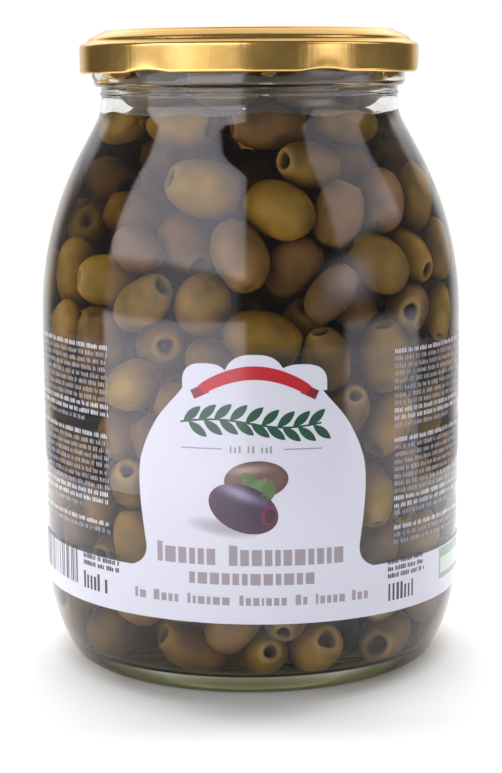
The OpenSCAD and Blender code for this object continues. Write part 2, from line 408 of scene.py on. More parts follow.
def clear_material(name, colour, ior, reflection, lamp_colour, absorbs=None, density=0.0):
    """A clear solid: refraction for the eye, plain transparency for rays towards a lamp, and, if it is
    coloured in its depth, absorption: what passes falls as exp(-density * (1 - colour) * path)."""
    made, shader, nodes, links = new_finish(name, {
        "Base Color": (*colour, 1), "Roughness": 0.0, "IOR": ior, "Transmission Weight": 1.0,
        "Specular Tint": (reflection, reflection, reflection, 1)})
    out = nodes["Material Output"]
    kind_of_ray = nodes.new("ShaderNodeLightPath")
    through = with_values(nodes.new("ShaderNodeBsdfTransparent"), {"Color": (*lamp_colour, 1)})
    surface = shader.outputs[0]
    for kind in ("Is Diffuse Ray", "Is Shadow Ray"):
        either = nodes.new("ShaderNodeMixShader")
        links.new(kind_of_ray.outputs[kind], either.inputs[0])
        links.new(surface, either.inputs[1])
        links.new(through.outputs[0], either.inputs[2])
        surface = either.outputs[0]
    links.new(surface, out.inputs["Surface"])
    if absorbs:
        depth = with_values(nodes.new("ShaderNodeVolumeAbsorption"), {"Color": (*absorbs, 1), "Density": density})
        links.new(depth.outputs[0], out.inputs["Volume"])
    return made


jar_glass = clear_material("jar glass", GLASS_TINT, GLASS_IOR, 1.0, (0.95, 0.95, 0.94))
wetted_glass = clear_material("jar glass wetted by oil", (1, 1, 1), GLASS_IOR, 0.0, (1, 1, 1))
olive_oil = clear_material("olive oil", (0.99, 0.985, 0.95), OIL_IOR, 0.0, (0.97, 0.96, 0.90),
                           (0.68, 0.57, 0.06), 72.0)
print("clear materials:", jar_glass.name, wetted_glass.name, olive_oil.name)

# %% [markdown]
# ## The thick base
# Glass is faintly green, and it shows where the glass is thickest, which is the foot. Seen through the foot, the
# floor under the jar lies in shade, so the foot also looks dark. Absorption in the glass's depth could give the
# green too. A colour of the foot's outside that grows darker smoothly over its lowest few millimetres is simpler to
# set, and it leaves the thin wall clear. That colour is the glass's faint green together with painted shade, far
# darker than the green alone.

# %% Base glass
# The darkest colour is the faint green of the glass with painted shade of the floor under the jar
GREEN_AND_SHADE, BASE_SHADE_FULL_Z, BASE_SHADE_END_Z = (0.085, 0.090, 0.028, 1), 0.003, 0.009
base_glass = clear_material("thick base glass with painted shade", GLASS_TINT, GLASS_IOR, 1.0, (0.85, 0.86, 0.80))
nodes, links = base_glass.node_tree.nodes, base_glass.node_tree.links
place, split = nodes.new("ShaderNodeTexCoord"), nodes.new("ShaderNodeSeparateXYZ")
rise = with_values(nodes.new("ShaderNodeMapRange"), {"From Min": BASE_SHADE_FULL_Z, "From Max": BASE_SHADE_END_Z})
rise.interpolation_type = "SMOOTHSTEP"
base_green_and_shade = nodes.new("ShaderNodeMix")
base_green_and_shade.data_type = "RGBA"
base_green_and_shade.inputs[6].default_value = GREEN_AND_SHADE
base_green_and_shade.inputs[7].default_value = (*GLASS_TINT, 1)
links.new(place.outputs["Object"], split.inputs[0])
links.new(split.outputs["Z"], rise.inputs["Value"])
links.new(rise.outputs["Result"], base_green_and_shade.inputs[0])
links.new(base_green_and_shade.outputs[2], nodes["Principled BSDF"].inputs["Base Color"])
print(f"the base is green with painted shade up to {BASE_SHADE_END_Z * 1000:.0f} mm")

# %% [markdown]
# ## Where the lid meets the mouth
# The lid's sheet is pressed into a ledge, a riser and a slope, and the mouth's edge slopes to meet the underside of
# the sheet. The lid's outline thus comes first: its inner side, one sheet's thickness in, gives the height of the
# mouth at each radius.

# %% Lid outline
LID_R = MOUTH_R + 3.05 + 0.35
SKIRT, LID_H, SHEET, CURL_R, CORNER_R = 7.3, 10.7, 0.35, 0.8, 0.9
LEDGE, RISER, PANEL_R, PANEL_LIP = 1.1, 0.9, MOUTH_R - 2.6, 0.45


def lid_outline():
    """The lid's outside from the skirt over its ledge, riser and slope to the middle of the panel."""
    ledge = np.array([LID_R - CORNER_R - LEDGE, SKIRT + LEDGE / 2])
    top = np.array([PANEL_R, LID_H])
    return np.vstack([
        arc((LID_R - CORNER_R, SKIRT - CORNER_R), CORNER_R, 0, 72, 12), ledge,
        ledge + [-RISER / 2, RISER], top + [2 * PANEL_LIP, -1.5 * PANEL_LIP],
        top + [PANEL_LIP / 2, -PANEL_LIP], top - [PANEL_LIP, 0], [0, LID_H]])


def moved_in(points, distance):
    """The line of points moved to its left side by a distance, with mitred corners."""
    step = np.diff(points, axis=0)
    left = np.stack([-step[:, 1], step[:, 0]], 1) / np.hypot(*step.T)[:, None]
    before, after = np.vstack([left[:1], left]), np.vstack([left, left[-1:]])
    mid = before + after
    return points + 2 * distance * mid / (mid ** 2).sum(1)[:, None]


lid_inside = moved_in(lid_outline(), SHEET)
seat_out, seat_in = lid_inside[-5], lid_inside[-4]
SEAT_FALL = (seat_in[1] - seat_out[1]) / (seat_out[0] - seat_in[0])


def seat_height(radius):
    """Height of the mouth's sloping edge, which meets the lid's underside."""
    return LID_Z + seat_in[1] + (seat_in[0] - radius) * SEAT_FALL


print(f"the mouth's edge is {seat_height(MOUTH_R):.2f} mm high outside and {seat_height(BORE_R):.2f} mm at the bore")

# %% [markdown]
# ## The jar's profile
# The outside starts under the hollow of the base, goes over the foot ring, heel, body and shoulder to the bead
# and the mouth, and the same line then runs back down the inside to the floor. One turned surface is thus a
# closed solid, which a glass material needs.

# %% Jar profile
def eased_corners(points, radius):
    """Cuts each corner of a line back by up to the radius and puts three points there."""
    points = np.asarray(points, float)
    a, b, c = points[:-2], points[1:-1], points[2:]
    back, on = a - b, c - b
    lb, lo = np.hypot(*back.T)[:, None], np.hypot(*on.T)[:, None]
    cut = np.minimum(radius, 0.4 * np.minimum(lb, lo))
    p, q = b + back / lb * cut, b + on / lo * cut
    middle = (p + q) / 4 + b / 2
    rounded = np.stack([p, middle, q], 1).reshape(-1, 2)
    return np.vstack([points[:1], rounded, points[-1:]])


heel_outside = heel(0, HEEL_TIGHT_OUT, 0)
FOOT_IN = heel_outside[0, 0] - FOOT_WIDTH
RIM_R = (BORE_R + 2 * MOUTH_R) / 3
ring_z = BEAD_Z - NECK_HEIGHT / 2
across = np.linspace(0, 1, 14)
punt = np.stack([FOOT_IN * across, PUNT_Z * (1 - across ** 2)], 1)
finish = eased_corners([
    shoulder(0)[-1], [NECK_R, ring_z - 0.55], [NECK_R + 0.35, ring_z - 0.12], [NECK_R + 0.35, ring_z + 0.12],
    [NECK_R, ring_z + 0.55], [NECK_R, BEAD_Z - 0.30], [MOUTH_R - BEAD_ROUND, BEAD_Z]],
    0.25)
bead = arc((MOUTH_R - BEAD_ROUND, BEAD_Z + BEAD_ROUND), BEAD_ROUND, -90, 0, 10)
mouth = eased_corners([
    bead[-1], [MOUTH_R, seat_height(MOUTH_R)], [RIM_R, seat_height(RIM_R)], [BORE_R, seat_height(RIM_R)],
    [BORE_R, BLEND_Z + 6]], 0.3)
outside = np.vstack([punt, heel_outside, shoulder(0)[:-1], finish, bead[1:-1], mouth])
inside = np.vstack([
    shoulder(WALL)[::-1], heel(WALL, HEEL_TIGHT_IN, FLOOR_Z)[::-1], [[0, FLOOR_Z]]])
jar_profile = filled_in(np.vstack([filled_in(outside, 1.6), inside]), 2.2)
keep = np.r_[True, np.hypot(*np.diff(jar_profile, axis=0).T) > 1e-4]
jar_profile = jar_profile[keep]
print("points in the jar's profile:", len(jar_profile))

# %% [markdown]
# ## The jar's glass
# Six short threads stand out above the bead for the lid to grip. They could be swept along spirals of their own
# and joined on, but here they are a swelling of the turned surface that fades at both ends, so the glass stays
# one piece. Its faces then get one of three glasses: plain outside, wetted by oil inside, and green with painted
# shade underneath.

# %% Jar mesh
def thread_swelling(turn, z):
    """Six ridges round the mouth, each rising slowly through 44 degrees. The swelling is a bell across its
    height and fades as a fourth power towards its ends."""
    lap = np.radians(60)
    along = ((turn - np.radians(27)) % lap) / lap
    centre = BEAD_Z + 2.35 + 2.9 * along
    ends = np.clip(1 - (np.abs(along - 0.5) / 0.40) ** 4, 0, 1)
    return 0.95 * ends * np.exp(-((z - centre) / 0.62) ** 2)


jar_points, jar_faces = turned(jar_profile, 224)
radius = np.hypot(jar_points[:, 0], jar_points[:, 1])
turn = np.arctan2(jar_points[:, 0], -jar_points[:, 1])
on_mouth = (radius > MOUTH_R - 0.05) & (jar_points[:, 2] > BEAD_Z + 0.8) & (jar_points[:, 2] < BEAD_Z + 9)
swelling = np.where(on_mouth, thread_swelling(turn, jar_points[:, 2]), 0)
jar_points[:, :2] *= (1 + swelling / np.maximum(radius, 1))[:, None]
glass_jar = add_piece("glass_jar", jar_points, jar_faces, jar_glass)
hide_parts("jar")
glass_jar.data.materials.append(wetted_glass)
glass_jar.data.materials.append(base_glass)
centres = np.zeros(len(glass_jar.data.polygons) * 3)
normals = centres.copy()
glass_jar.data.polygons.foreach_get("center", centres)
glass_jar.data.polygons.foreach_get("normal", normals)
centres, normals = centres.reshape(-1, 3) / MM, normals.reshape(-1, 3)
outward = (centres[:, 0] * normals[:, 0] + centres[:, 1] * normals[:, 1])
faces_in = (outward < -1e-3) | ((normals[:, 2] > 0.9) & (centres[:, 2] > FLOOR_Z - 0.5) & (centres[:, 2] < 12))
wetted = faces_in & (centres[:, 2] < OIL_Z + 0.5)
# The outside below 9.5 mm gets the base glass, whose colour holds painted shade
underneath = ~faces_in & (centres[:, 2] < 9.5)
glass_jar.data.polygons.foreach_set("material_index", (wetted + 2 * underneath).astype(np.int32))
print("faces of the glass that the oil wets:", int(wetted.sum()))

# %% [markdown]
# ## The olives on top
# The olives that break the surface of the oil lie in two rings, and two more rings lie on those. They are where
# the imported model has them, so the same formula is worked out again here: each ring has its radius and its first
# bearing, and its olives rise, fall and tip a little by the sine of their number.

# %% Olives at the surface
OLIVE_R, OLIVE_L, OLIVE_RISE, OLIVE_PILE, OLIVE_GAP = 6.5, 17.5, 3.0, 11.3, 0.6


def surface_ring(count, ring_r, turn, lift):
    """Centres and long axes of a ring of olives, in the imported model's own places. The lift is 0 in the
    layer that breaks the surface, and the height of the pile in the layer that lies on it."""
    i = np.arange(count)
    a = np.radians(turn + i * 360 / count)
    z = OIL_Z + OLIVE_RISE - OLIVE_R + lift + 0.8 * np.sin(np.radians(137 * i + turn))
    tip = np.radians(9 * np.sin(np.radians(97 * i)))
    place = np.stack([ring_r * np.sin(a), -ring_r * np.cos(a), z], 1)
    axis = np.stack([np.cos(a) * np.cos(tip), np.sin(a) * np.cos(tip), -np.sin(tip)], 1)
    return place, axis


ring_r = BORE_R - OLIVE_GAP - OLIVE_R
inner_ring_r = ring_r - 2 * OLIVE_R - OLIVE_GAP
rings = [surface_ring(9, ring_r, 8, 0), surface_ring(4, inner_ring_r, 30, 0),
         surface_ring(9, ring_r, 28, OLIVE_PILE), surface_ring(4, inner_ring_r, 75, OLIVE_PILE)]
top_places, top_axes = np.vstack([r[0] for r in rings]), np.vstack([r[1] for r in rings])
AFLOAT = 13
print("olives at the surface:", len(top_places))

# %% [markdown]
# ## Packing the sunk olives
# Several hundred olives fill the jar. Dropping rigid bodies would need a simulation over hundreds of frames, so
# the olives are packed in arrays instead. Each is three balls in a row. They start small at random places and
# grow, and at each step every overlapping pair is pushed apart and every ball is pushed off the glass. The olives
# on top don't move.

# %% Pack the sunk olives
SUNK = 395
inner_wall = filled_in(np.vstack([
    [[0, FLOOR_Z]], heel(WALL, HEEL_TIGHT_IN, FLOOR_Z), shoulder(WALL), [[BORE_R, OIL_Z + 12]]]), 1.5)
wall_step = np.gradient(inner_wall, axis=0)
wall_in = np.stack([-wall_step[:, 1], wall_step[:, 0]], 1)
wall_in /= np.hypot(*wall_in.T)[:, None]
half_long = np.r_[rng.uniform(7.6, 9.5, SUNK), np.full(len(top_places), OLIVE_L / 2)]
half_wide = np.r_[half_long[:SUNK] * rng.uniform(0.68, 0.80, SUNK), np.full(len(top_places), OLIVE_R)]
total = SUNK + len(top_places)
start_r = np.sqrt(rng.uniform(0, 1, SUNK)) * 42
start_a = rng.uniform(0, 2 * np.pi, SUNK)
places = np.vstack([
    np.stack([start_r * np.sin(start_a), -start_r * np.cos(start_a), rng.uniform(12, 126, SUNK)], 1), top_places])
axes = np.vstack([rng.normal(size=(SUNK, 3)), top_axes])
axes /= np.linalg.norm(axes, axis=1)[:, None]
free = np.r_[np.ones(SUNK), np.zeros(len(top_places))]
owner = np.tile(np.arange(total), 3)
END_BALL = 0.74


def settle(places, axes, steps, first, last):
    """Pushes the olives' balls apart and off the glass while they grow from one scale to another.
    An olive moves by the mean of its balls' pushes, and turns by the difference between its two ends."""
    for step in range(steps):
        # Three balls along each olive's axis, at the size that they have grown to
        grown = first + (last - first) * min(1.0, step / (0.75 * steps))
        reach = ((half_long - END_BALL * half_wide) * grown)[:, None] * axes
        balls = np.vstack([places - reach, places, places + reach])
        sizes = grown * np.r_[END_BALL * half_wide, half_wide, END_BALL * half_wide]
        # Pairs of balls of different olives that overlap, each pushed apart along the line between them
        square = (balls ** 2).sum(1)
        apart = square[:, None] + square[None, :] - 2 * balls @ balls.T
        close = apart < (sizes[:, None] + sizes[None, :]) ** 2
        a, b = np.nonzero(np.triu(close, 1))
        other = owner[a] != owner[b]
        a, b = a[other], b[other]
        line = balls[a] - balls[b]
        gap = np.maximum(np.linalg.norm(line, axis=1), 1e-6)
        push = line / gap[:, None] * (sizes[a] + sizes[b] - gap)[:, None]
        share = free[owner[a]] + free[owner[b]]
        moves, hits = np.zeros_like(balls), np.zeros(len(balls))
        np.add.at(moves, a, push * (1 / np.maximum(share, 1))[:, None])
        np.add.at(moves, b, -push * (1 / np.maximum(share, 1))[:, None])
        np.add.at(hits, a, 1)
        np.add.at(hits, b, 1)
        # Balls that reach into the glass, pushed in along the normal of the wall's nearest point
        out = np.hypot(balls[:, 0], balls[:, 1])
        flat = np.stack([out, balls[:, 2]], 1)
        away = flat[:, None, :] - inner_wall[None, :, :]
        near = (away ** 2).sum(2).argmin(1)
        depth = (away[np.arange(len(balls)), near] * wall_in[near]).sum(1)
        over = np.clip(sizes - depth, 0, 6)
        moves[:, 0] += over * wall_in[near, 0] * balls[:, 0] / np.maximum(out, 1e-6)
        moves[:, 1] += over * wall_in[near, 0] * balls[:, 1] / np.maximum(out, 1e-6)
        moves[:, 2] += over * wall_in[near, 1]
        # Balls that reach above the oil, pushed down
        too_high = np.clip(balls[:, 2] + sizes - (OIL_Z - 0.4), 0, 6)
        moves[:, 2] -= too_high
        hits += (over > 0) + (too_high > 0)
        # Each olive moves by the mean push, and its axis turns with the pushes at its two ends
        moves = moves.reshape(3, total, 3)
        hits = hits.reshape(3, total)
        places = places + 1.25 * (moves.sum(0) / np.maximum(hits.sum(0), 1)[:, None]) * free[:, None]
        ends = (moves[2] / np.maximum(hits[2], 1)[:, None] - moves[0] / np.maximum(hits[0], 1)[:, None])
        turned_axes = axes * (2 * half_long)[:, None] + 1.1 * ends * free[:, None]
        axes = turned_axes / np.linalg.norm(turned_axes, axis=1)[:, None]
        # A slow drift towards the glass and down, which ends as the packing settles
        out = np.hypot(places[:, 0], places[:, 1])
        drift = np.where((out > 26) & (out < 46), 0.10, 0.0) * free * (1 - step / steps)
        places[:, :2] *= (1 + drift / np.maximum(out, 1))[:, None]
        places[:, 2] -= 0.05 * free * (1 - step / steps)
    return places, axes, float(np.percentile(sizes[a] + sizes[b] - gap, 90))


places, axes, squeeze = settle(places, axes, 260, 0.45, 1.0)
print(f"packed {SUNK} olives, nine in ten pairs are pressed together by less than {squeeze:.2f} mm")

# %% [markdown]
# ## The shape of a pitted olive
# A pitted olive is an egg shape with a round hole punched in one end, where the stone left, and a small cross
# cut at the other. Modelling one and copying it would make them all alike. Here the same formula is worked out
# for all of them at once, with each olive's own numbers for length, bumps, bend and the set of its hole.

# %% Olive surfaces
def kept_off_glass(points):
    """Flattens whatever would pass through the glass: the radius is cut to the wall's at that height."""
    out = np.hypot(points[..., 0], points[..., 1])
    wall = np.interp(points[..., 2], inner_wall[1:, 1], inner_wall[1:, 0]) - 0.40
    points[..., :2] *= np.minimum(1, wall / np.maximum(out, 1e-6))[..., None]
    points[..., 2] = np.maximum(points[..., 2], FLOOR_Z + 0.3)
    return points


def olive_surfaces(places, axes, half_long, half_wide, along, around, seed):
    """Every olive as one grid. Along its length runs a line that starts inside the hole, comes out over a
    rounded rim, follows cos and sin of an angle over the body, and ends in a cross-cut dimple."""
    # The line along an olive: x is the way along its axis, and radius the distance from it
    r = np.random.default_rng(seed)
    n = len(places)
    hole = r.uniform(0.30, 0.40, n)[:, None]
    t = np.linspace(0, 1, along)[None, :]
    lip = np.arcsin(hole) * 1.12
    body = np.clip((t - 0.22) / 0.78, 0, 1)
    angle = lip + (np.pi - lip) * body ** 0.92
    x = np.cos(angle) * (1 + 0.03 * np.sin(angle) ** 2)
    radius = np.sin(angle) ** 0.94
    down = np.clip((0.22 - t) / 0.22, 0, 1)
    x = np.where(t < 0.22, np.cos(lip) - 0.05 * down ** 0.5 - 0.75 * down ** 1.5, x)
    inner_r = hole * (1 - 0.10 * np.clip(down * 4, 0, 1) - 0.25 * down ** 2)
    radius = np.where(t < 0.22, np.minimum(np.sin(lip) ** 0.94, inner_r + (np.sin(lip) ** 0.94 - inner_r)
                                           * (1 - np.clip(down * 5, 0, 1))), radius)
    radius[:, 0] = 0
    radius[:, -1] = 0
    turn = np.linspace(0, 2 * np.pi, around, endpoint=False)[None, None, :]

    def own(low, high):
        """One random number for each olive, spread over its grid."""
        return r.uniform(low, high, n)[:, None, None]

    # Four rays of a cross cut at the far end, then bumps, a ragged hole, a bend and a slanted hole
    tail = np.clip((body - 0.80) / 0.20, 0, 1)[:, :, None]
    rays = np.exp(-(np.sin(2 * turn) / 0.30) ** 2)
    own(0, 1)  # a draw that nothing uses, which keeps the later ones in their order
    cut_size = own(0.3, 1.0)
    x3 = x[:, :, None] + tail ** 1.5 * cut_size * (0.10 + 0.10 * rays)
    bumps = (1 + own(0.0, 0.05) * np.sin(2 * turn + own(0, 6.28))
             + own(0.0, 0.035) * np.sin(3 * turn + own(0, 6.28) + 2 * x3)
             + own(0.0, 0.03) * np.sin(turn + 5 * x3 + own(0, 6.28)))
    ragged = 1 + np.clip(down * 6, 0, 1)[:, :, None] * 0.14 * np.sin(3 * turn + own(0, 6.28)) * own(0.2, 1)
    radius3 = radius[:, :, None] * bumps * ragged * (1 - 0.10 * tail * rays * cut_size)
    radius3 = radius3 * (1 + own(-0.07, 0.07) * x3)
    bend = own(-0.07, 0.07) * (x3 ** 2 - 0.4)
    slope = own(-0.16, 0.16) * np.clip(x3 - 0.5, 0, 1)
    wide, long = half_wide[:, None, None], half_long[:, None, None]
    local = np.stack([
        long * (x3 + slope * radius3 * np.sin(turn)), wide * (radius3 * np.cos(turn) + bend),
        wide * radius3 * np.sin(turn) * own(0.94, 1.05)], -1)
    # Three directions for each olive: its axis and two more at right angles, rolled at random about it
    helper = np.where(np.abs(axes[:, 2:3]) < 0.9, [[0.0, 0.0, 1.0]], [[1.0, 0.0, 0.0]])
    side = np.cross(helper, axes)
    side /= np.linalg.norm(side, axis=1)[:, None]
    third = np.cross(axes, side)
    roll = r.uniform(0, 6.28, n)[:, None]
    side, third = side * np.cos(roll) + third * np.sin(roll), third * np.cos(roll) - side * np.sin(roll)
    basis = np.stack([axes, side, third], 1)
    world = kept_off_glass(np.einsum("nijk,nkl->nijl", local, basis) + places[:, None, None, :])
    # The last value marks the cross cut, which make_olives darkens as painted shade in the crease
    return world, t, down, tail * rays * cut_size


def olive_faces(n, along, around):
    """Faces of n olives whose grids have single points at both ends. The grid runs from the hole outwards."""
    rows = along - 2
    quads = grid_quads(rows, around, False, True)
    here, after = np.arange(around), (np.arange(around) + 1) % around
    low, high = rows * around, rows * around + 1
    fan_low = np.stack([np.full(around, low), after, here], 1)
    fan_high = np.stack([(rows - 1) * around + here, (rows - 1) * around + after, np.full(around, high)], 1)
    shift = (np.arange(n) * (rows * around + 2))[:, None, None]
    return ((quads[None, :, ::-1] + shift).reshape(-1, 4).tolist()
            + (fan_low[None, :, ::-1] + shift).reshape(-1, 3).tolist()
            + (fan_high[None, :, ::-1] + shift).reshape(-1, 3).tolist())


def with_single_ends(grid):
    """Drops all but one point of the first and last row of each grid."""
    n, along, around, k = grid.shape
    middle = grid[:, 1:-1].reshape(n, -1, k)
    return np.concatenate([middle, grid[:, :1, 0], grid[:, -1:, 0]], 1).reshape(-1, k)


print("faces of one olive at the glass:", len(olive_faces(1, 26, 22)))

# %% [markdown]
# ## Ripeness
# Olives in one jar differ in ripeness, from golden over tan to purple. An olive's own colour is a mix of these by
# one number, made a little lighter or darker by another. Round the hole the cut flesh is paler. Inside the hole
# and in the cross cut the colour is darkened as painted shade, and the skin above the oil is darkened as painted
# shade under the lid. The colours are kept point by point, since one material then serves every olive.

# %% Olive colours
GOLDEN, TAN, PURPLE, FLESH, HOLE_SHADE = map(np.array, (
    (0.25, 0.150, 0.013), (0.25, 0.145, 0.046), (0.15, 0.078, 0.062), (0.40, 0.28, 0.13), (0.050, 0.034, 0.018)))


def make_olives(name, chosen, along, around, seed):
    """One piece with all the chosen olives, each with its own ripeness and paler flesh at its hole's rim."""
    sunk = chosen < SUNK
    grid, t, down, cut = olive_surfaces(
        places[chosen], axes[chosen], half_long[chosen] * np.where(sunk, 0.98, 1),
        half_wide[chosen] * np.where(sunk, 0.91, 1), along, around, seed)
    r = np.random.default_rng(seed + 1)
    n = len(chosen)
    # Ripeness runs from 0 to 1: golden, then tan at one half, then purple
    ripe = r.beta(1.4, 1.6, n)[:, None, None, None]
    second = np.clip(2 * ripe, 0, 1)
    third = np.clip(2 * ripe - 1, 0, 1)
    skin = GOLDEN * (1 - second) + TAN * second
    skin = (skin * (1 - third) + PURPLE * third) * r.uniform(0.65, 1.35, (n, 1, 1, 1))
    skin = np.broadcast_to(skin, grid.shape).copy()
    # Paler flesh at the hole's rim, painted shade inside the hole and in the cross cut, and painted shade under the
    # lid on the skin above the oil
    d = np.broadcast_to(down[:, :, None, None], grid.shape[:3] + (1,))
    t4 = np.broadcast_to(t[:, :, None, None], d.shape)
    rim = np.exp(-((t4 - 0.225) / 0.035) ** 2)
    skin = skin * (1 - 0.75 * rim) + FLESH * 0.75 * rim
    # Inside the hole the colour goes to near black: painted shade in the recess
    hole_shade = np.clip(d * 2.2 - 0.25, 0, 1)
    skin = skin * (1 - hole_shade) + HOLE_SHADE * hole_shade
    # Painted shade in the cross cut's crease
    skin *= 1 - 0.75 * np.clip(cut, 0, 1)[..., None]
    # Painted shade under the lid: the skin above the oil is darkened
    skin *= np.where(grid[..., 2:3] > OIL_Z + 0.6, 0.55, 1.0)
    piece = add_piece(name, with_single_ends(grid), olive_faces(n, along, around), olive_skin)
    paint(piece, "skin", with_single_ends(skin))
    return piece


# %% [markdown]
# ## Olive skin
# The skin is smooth and wet with oil, with faint blotches a few millimetres wide and fine pores. Both are noise in
# the piece's own space, so no seam shows. Little is left to the reflection, because oil lies against the skin.

# %% Olive skin
olive_skin, skin_shader, nodes, links = new_finish("olive skin", {"Roughness": 0.42, "Specular IOR Level": 0.22})
coords = nodes.new("ShaderNodeTexCoord")
own_colour = nodes.new("ShaderNodeAttribute")
own_colour.attribute_name = "skin"
blotches = with_values(nodes.new("ShaderNodeTexNoise"), {"Scale": 130, "Detail": 1.5, "Roughness": 0.5})
tone = with_values(nodes.new("ShaderNodeMapRange"), {
    "From Min": 0.3, "From Max": 0.7, "To Min": 0.55, "To Max": 1.25})
shade = with_values(nodes.new("ShaderNodeMix"), {"Factor": 1.0})
shade.data_type = "RGBA"
shade.blend_type = "MULTIPLY"
grey = nodes.new("ShaderNodeCombineColor")
pores = with_values(nodes.new("ShaderNodeTexNoise"), {"Scale": 240, "Detail": 1})
bump = with_values(nodes.new("ShaderNodeBump"), {"Strength": 0.35, "Distance": 0.0003})
links.new(coords.outputs["Object"], blotches.inputs["Vector"])
links.new(coords.outputs["Object"], pores.inputs["Vector"])
links.new(blotches.outputs["Fac"], tone.inputs["Value"])
for channel in ("Red", "Green", "Blue"):
    links.new(tone.outputs["Result"], grey.inputs[channel])
links.new(own_colour.outputs["Color"], shade.inputs[6])
links.new(grey.outputs["Color"], shade.inputs[7])
links.new(shade.outputs[2], skin_shader.inputs["Base Color"])
links.new(pores.outputs["Fac"], bump.inputs["Height"])
links.new(bump.outputs["Normal"], skin_shader.inputs["Normal"])
print("olive skin: blotches and pores over each olive's own colour")

# %% [markdown]
# ## The olives
# Only the olives near the glass are seen closely, so those have fine grids, and the ones deeper in have coarse
# ones. An olive's hole points outwards more often than not, since the sight of the holes is what says that the
# olives are pitted. One piece for every olive would be too many, so there are four pieces by where they lie.

# %% Make the olives
out_of_axis = np.hypot(places[:, 0], places[:, 1])
wall_at = np.interp(places[:, 2], inner_wall[1:, 1], inner_wall[1:, 0])
is_top = np.arange(total) >= SUNK
at_glass = ((wall_at - out_of_axis < 14.5) | (places[:, 2] < 16)) & ~is_top
outward_ends = (axes[:, 0] * places[:, 0] + axes[:, 1] * places[:, 1]) > 0
axes[~outward_ends] *= -1
flip = rng.uniform(0, 1, total) < 0.40
axes[flip] *= -1
at_glass_ids = np.nonzero(at_glass)[0]
from_below = at_glass_ids[np.argsort(places[at_glass_ids, 2])]
half = len(from_below) // 2
make_olives("olives_at_glass_lower", from_below[:half], 26, 22, 5)
make_olives("olives_at_glass_upper", from_below[half:], 26, 22, 6)
surface_olives = make_olives("olives_at_surface", np.nonzero(is_top)[0], 34, 28, 7)
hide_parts("olives")
make_olives("olives_inside", np.nonzero(~at_glass & ~is_top)[0], 8, 8, 8)
print("at the glass:", len(at_glass_ids), "deeper:", int((~at_glass & ~is_top).sum()))

# %% [markdown]
# ## The oil
# The oil fills the cavity up to the olives that break its surface. It is turned from the cavity's own curves,
# a little wider than the bore so that it reaches into the wall. Its top creeps up the glass and over each olive,
# so the height there is a sum of bells, one for each olive at the surface, and a thin rise at the wall.

# %% Oil mesh
INTO_WALL = 0.3
oil_side = np.vstack([
    [[0, FLOOR_Z - INTO_WALL]], heel(WALL - INTO_WALL, HEEL_TIGHT_IN + INTO_WALL, FLOOR_Z - INTO_WALL),
    shoulder(WALL - INTO_WALL)])
oil_side = oil_side[oil_side[:, 1] < OIL_Z - 1]
edge_r = np.interp(OIL_Z, *shoulder(WALL - INTO_WALL).T[::-1])
top_r = np.r_[edge_r * (1 - np.linspace(0, 0.25, 14) ** 1.5), np.linspace(edge_r * 0.85, 1.2, 34), 0.0]
top_line = np.stack([top_r, np.full(len(top_r), OIL_Z)], 1)
side_line = filled_in(np.vstack([oil_side, [[edge_r, OIL_Z]]]), 2.2)
oil_points, oil_faces = turned(np.vstack([side_line, top_line[1:]]), 192)
radius = np.hypot(oil_points[:, 0], oil_points[:, 1])


def oil_height(x, y):
    """Height of the oil over its level: a bell over each olive that breaks the surface, less a shallow dip
    between them, and a rise within two millimetres of the glass."""
    floating = top_places[:AFLOAT]
    away = np.hypot(x[:, None] - floating[None, :, 0], y[:, None] - floating[None, :, 1])
    bells = np.exp(-(away / 6.2) ** 2)
    rise = (bells * (floating[None, :, 2] + OLIVE_R - OIL_Z) * 0.75).max(1)
    wall_rise = 1.0 * np.exp(-(edge_r - np.hypot(x, y)) / 1.2)
    turn = np.arctan2(x, -y)
    ripple = 0.35 * np.sin(5 * turn + 1) + 0.3 * np.sin(11 * turn) + 0.2 * np.sin(17 * turn + 2)
    return rise - 0.5 + wall_rise + ripple * np.exp(-(edge_r - np.hypot(x, y)) / 5)


lifted = oil_points[:, 2] > OIL_Z - 1e-6
oil_points[lifted, 2] += oil_height(oil_points[lifted, 0], oil_points[lifted, 1])
oil = add_piece("oil_body", oil_points, oil_faces, olive_oil)
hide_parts("oil")

# %% [markdown]
# ## The lid
# The lid is pressed from thin sheet: a rolled edge at the bottom, a short skirt, a ledge and a riser, and a
# slope up to the flat panel. Its section is a closed line round both sides of the sheet. At six places the
# rolled edge is pressed in and up to form the lugs that grip the threads.

# %% Lid mesh
outer_line = eased_corners(lid_outline()[::-1], 0.35)[::-1]
outer_line = outer_line[outer_line[:, 0] > 0.5]
inner_line = moved_in(outer_line, SHEET)
curl = arc((LID_R - CURL_R, CURL_R), CURL_R, 100, 360, 15)
section = np.vstack([curl, filled_in(np.vstack([[[LID_R, CURL_R + 0.05]], outer_line]), 1.2)])
under = np.vstack([filled_in(inner_line[::-1], 2.0), [[LID_R - SHEET, 2 * CURL_R]]])
lid_profile = np.vstack([section, [[0.0, LID_H]]])
lid_under = np.vstack([[[0.0, LID_H - SHEET]], under])
lid_line = np.vstack([lid_under, lid_profile])
keep = np.r_[True, np.hypot(*np.diff(lid_line, axis=0).T) > 1e-4]
lid_line = lid_line[keep]
lid_points, lid_faces = turned(lid_line, 384)
LUG_WIDTH, LUG_LIFT, LUG_TURN = 13.0, 0.6, 25.0
turn = np.degrees(np.arctan2(lid_points[:, 0], -lid_points[:, 1]))
radius = np.hypot(lid_points[:, 0], lid_points[:, 1])
from_lug = np.abs((turn - LUG_TURN + 30) % 60 - 30)
reach = np.clip(1 - (np.radians(from_lug) * LID_R / (LUG_WIDTH / 2)) ** 2, 0, 1)
low = np.clip(1 - lid_points[:, 2] / 4.0, 0, 1)
lid_points[:, 2] += LUG_LIFT * reach * low
